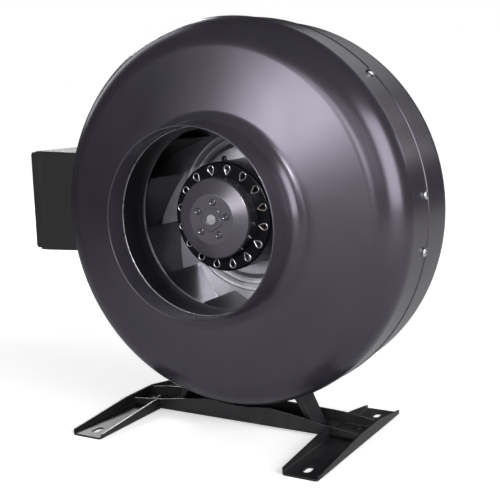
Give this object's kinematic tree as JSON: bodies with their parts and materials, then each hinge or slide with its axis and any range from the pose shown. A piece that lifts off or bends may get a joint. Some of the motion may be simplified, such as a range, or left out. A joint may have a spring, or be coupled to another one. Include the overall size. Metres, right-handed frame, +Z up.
{
  "type": "inline duct fan",
  "caption": "Round inline duct fan: two pressed steel shells with collars round a motorised backward-curved impeller, on a stamped foot bracket, with a side junction box.",
  "frame": {"origin": "centre of the inlet collar's mouth, on the duct axis", "axes": "+Y along the duct axis in the direction of the air flow, -Y out of the inlet, +Z up, the junction box on the -X side"},
  "size_m": [0.3707, 0.208, 0.3305],
  "materials": {
    "housing_paint": "semi-gloss charcoal powder coat",
    "bracket_paint": "satin black paint",
    "impeller_paint": "semi-gloss black coated steel sheet",
    "rotor_black": "gloss black enamel",
    "cap_grey": "matt dark grey paint",
    "box_plastic": "fine textured black plastic",
    "white_plastic": "moulded, off-white",
    "zinc": "bright zinc plate",
    "steel": "ground steel",
    "cast_aluminium": "die cast",
    "lamination": "stacked electrical sheet",
    "copper": "enamelled copper wire",
    "brass": "machined",
    "rubber": "matt"
  },
  "bodies": {
    "housing": {"front_shell": "housing_paint", "rear_shell": "housing_paint", "inlet_nozzle": "housing_paint", "rim_screws": "zinc", "rivet_nuts": "zinc", "motor_support": "bracket_paint", "support_screws": "zinc", "motor_screws": "zinc", "stator_base": "cast_aluminium", "stator_core": "lamination", "stator_insulators": "white_plastic", "stator_windings": "copper", "front_bearing": "steel", "rear_bearing": "steel", "bearing_washer": "steel", "motor_lead": "rubber", "lead_grommet": "rubber", "box_body": "box_plastic", "box_gasket": "rubber", "box_lid": "box_plastic", "lid_screws": "zinc", "box_screws": "zinc", "terminal_block": "white_plastic", "terminal_screws": "brass", "capacitor": "white_plastic", "capacitor_clip": "zinc", "gland_body": "box_plastic", "gland_seal": "rubber", "gland_nut": "box_plastic", "cross_channel": "bracket_paint", "left_foot": "bracket_paint", "right_foot": "bracket_paint", "left_saddle": "bracket_paint", "right_saddle": "bracket_paint", "saddle_screws": "zinc", "bracket_rivets": "bracket_paint"},
    "rotor": {"rotor_can": "rotor_black", "hub_cap": "cap_grey", "hub_rivets": "cap_grey", "rotor_shaft": "steel", "shaft_bush": "cast_aluminium", "rotor_core": "lamination", "rotor_end_rings": "cast_aluminium", "retaining_ring": "steel", "back_plate": "impeller_paint", "plate_rivets": "zinc", "shroud_ring": "impeller_paint", "balance_clip": "zinc", "blade_01": "impeller_paint", "blade_02": "impeller_paint", "blade_03": "impeller_paint", "blade_04": "impeller_paint", "blade_05": "impeller_paint", "blade_06": "impeller_paint", "blade_07": "impeller_paint", "blade_08": "impeller_paint", "blade_09": "impeller_paint", "blade_10": "impeller_paint", "blade_11": "impeller_paint"}
  },
  "joints": [
    {"name": "rotor_spin", "type": "hinge", "parent": "housing", "child": "rotor", "pos_m": [0, 0.0755, 0], "axis": [0, 1, 0], "continuous": true}
  ]
}
